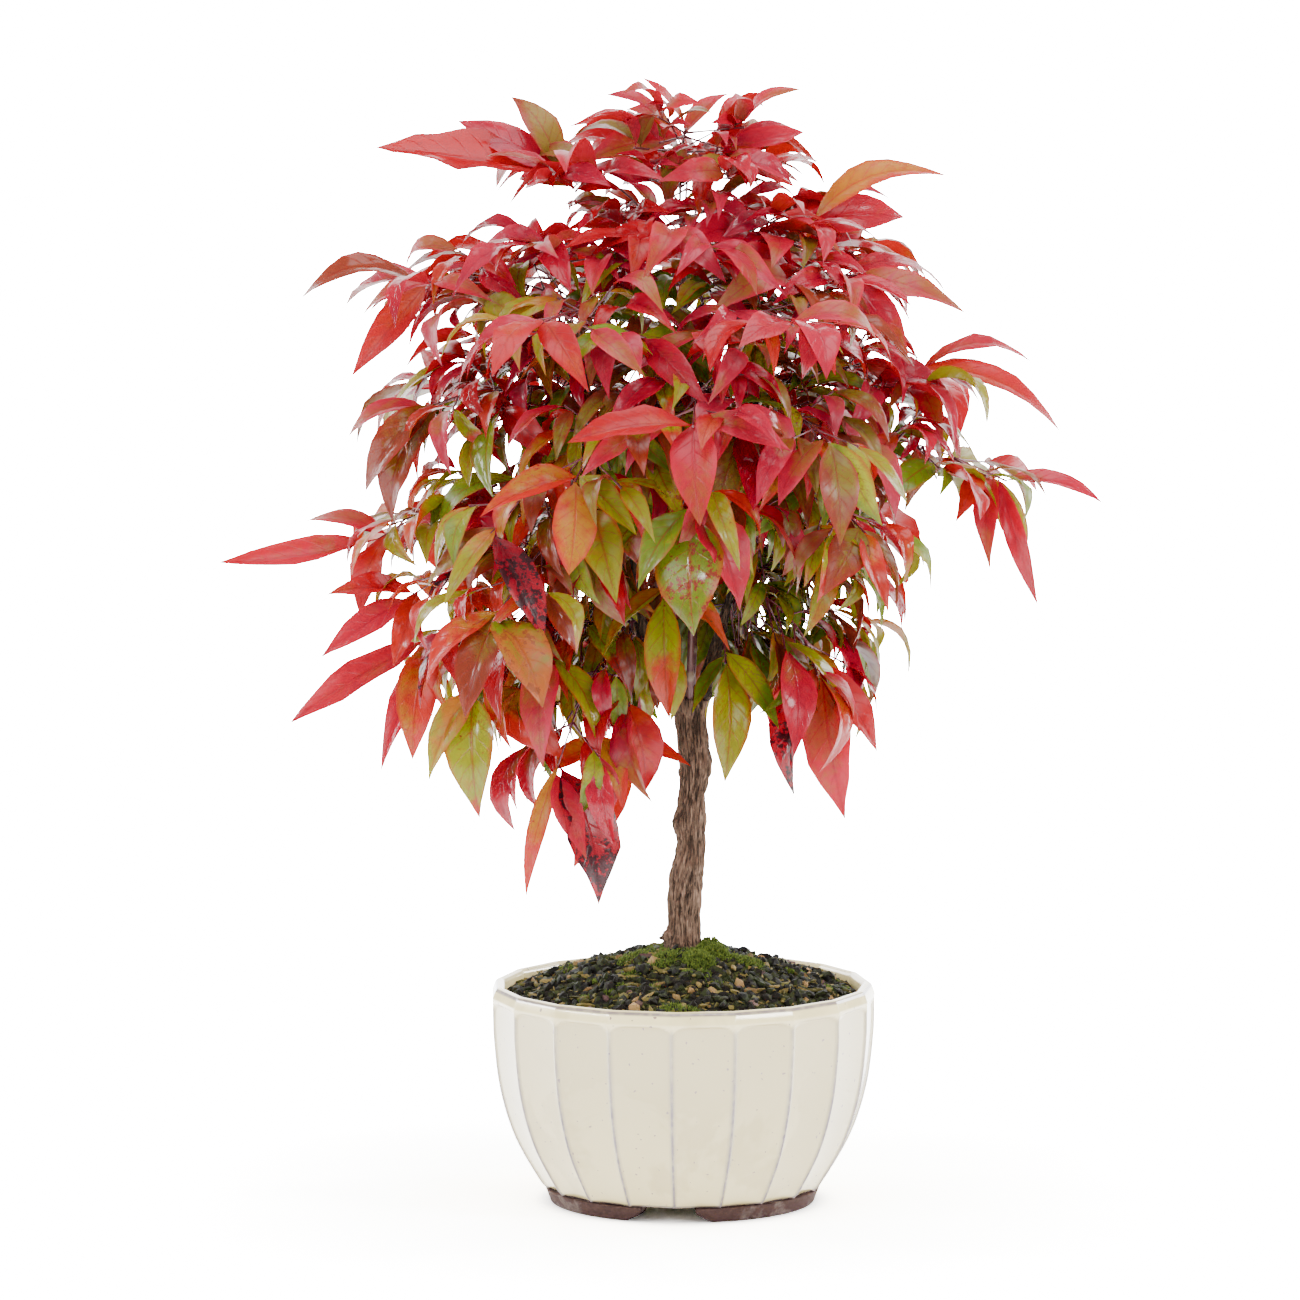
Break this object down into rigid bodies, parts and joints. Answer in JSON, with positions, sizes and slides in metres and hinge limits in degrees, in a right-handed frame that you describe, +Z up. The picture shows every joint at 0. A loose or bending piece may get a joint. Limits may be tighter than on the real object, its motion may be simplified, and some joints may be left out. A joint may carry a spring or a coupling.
{
  "type": "heavenly bamboo bonsai in a pot",
  "caption": "Heavenly bamboo bonsai in autumn red and green, one short trunk with slender canes and drooping compound leaves, in a round fluted cream pot on feet.",
  "frame": {"origin": "on the ground, under the middle of the whole plant's box; the pot's axis stands 9.4 mm to the right of it and 9.6 mm in front of it", "axes": "+Z up along the pot's axis, -Y towards the front of the plant, +X to its right"},
  "size_m": [0.3662, 0.2867, 0.4686],
  "materials": {
    "glaze": "glossy cream glaze, thin and grey-mauve along the ridges",
    "clay": "bare brown stoneware, matt",
    "soil": "gritty potting mix of dark chips and tan pebbles",
    "moss": "bright green cushion moss",
    "bark": "furrowed brown-grey bark",
    "cane": "smooth dark maroon cane",
    "leaf_crimson": "leathery glossy leaf, crimson",
    "leaf_scarlet": "leathery glossy leaf, scarlet",
    "leaf_orange": "leathery glossy leaf, orange-red",
    "leaf_bronze": "leathery glossy leaf, bronze",
    "leaf_olive": "leathery glossy leaf, olive to yellow-green",
    "leaf_green": "leathery glossy leaf, green"
  },
  "bodies": {
    "root": {"pot_bowl": "glaze", "pot_foot_1": "clay", "pot_foot_2": "clay", "pot_foot_3": "clay", "soil_mound": "soil", "moss_cushion": "moss", "trunk": "bark", "bough_left": "bark", "bough_right": "bark", "cane_centre": "cane", "cane_front": "cane", "cane_left": "cane", "cane_back": "cane", "spray_top": "leaf_crimson", "spray_top_right": "leaf_crimson", "spray_top_left": "leaf_crimson", "spray_top_back": "leaf_scarlet", "spray_top_front": "leaf_bronze", "spray_upper_right": "leaf_scarlet", "spray_crest_right": "leaf_crimson", "spray_crest_left": "leaf_crimson", "spray_upper_left": "leaf_crimson", "spray_upper_back_right": "leaf_crimson", "spray_upper_back": "leaf_scarlet", "spray_upper_back_left": "leaf_crimson", "spray_upper_front_left": "leaf_bronze", "spray_upper_front_right": "leaf_crimson", "spray_right_arm": "leaf_crimson", "spray_far_right": "leaf_crimson", "spray_left_fall": "leaf_scarlet", "spray_front_heart": "leaf_crimson", "spray_back_right_arm": "leaf_crimson", "spray_back_arm": "leaf_scarlet", "spray_back_left_arm": "leaf_crimson", "spray_front_left": "leaf_orange", "spray_front_right": "leaf_bronze", "spray_far_left": "leaf_scarlet", "spray_left_low": "leaf_orange", "spray_back_left_low": "leaf_bronze", "spray_back_low": "leaf_olive", "spray_back_right_low": "leaf_bronze", "spray_front_shield": "leaf_green", "spray_front_left_low": "leaf_olive", "spray_front_right_low": "leaf_green", "spray_right_low": "leaf_olive", "spray_skirt_left": "leaf_orange", "spray_skirt_olive": "leaf_olive", "spray_pendant_left": "leaf_scarlet", "spray_pendant_front": "leaf_orange", "spray_pendant_right": "leaf_crimson", "spray_fork_front": "leaf_green", "spray_trunk_leaf": "leaf_olive", "spray_mottled": "leaf_bronze", "spray_skirt_right": "leaf_olive", "spray_skirt_back_right": "leaf_green", "spray_skirt_back_left": "leaf_orange", "spray_inner_left": "leaf_green", "spray_inner_right": "leaf_olive", "spray_skirt_back": "leaf_green"}
  },
  "joints": []
}
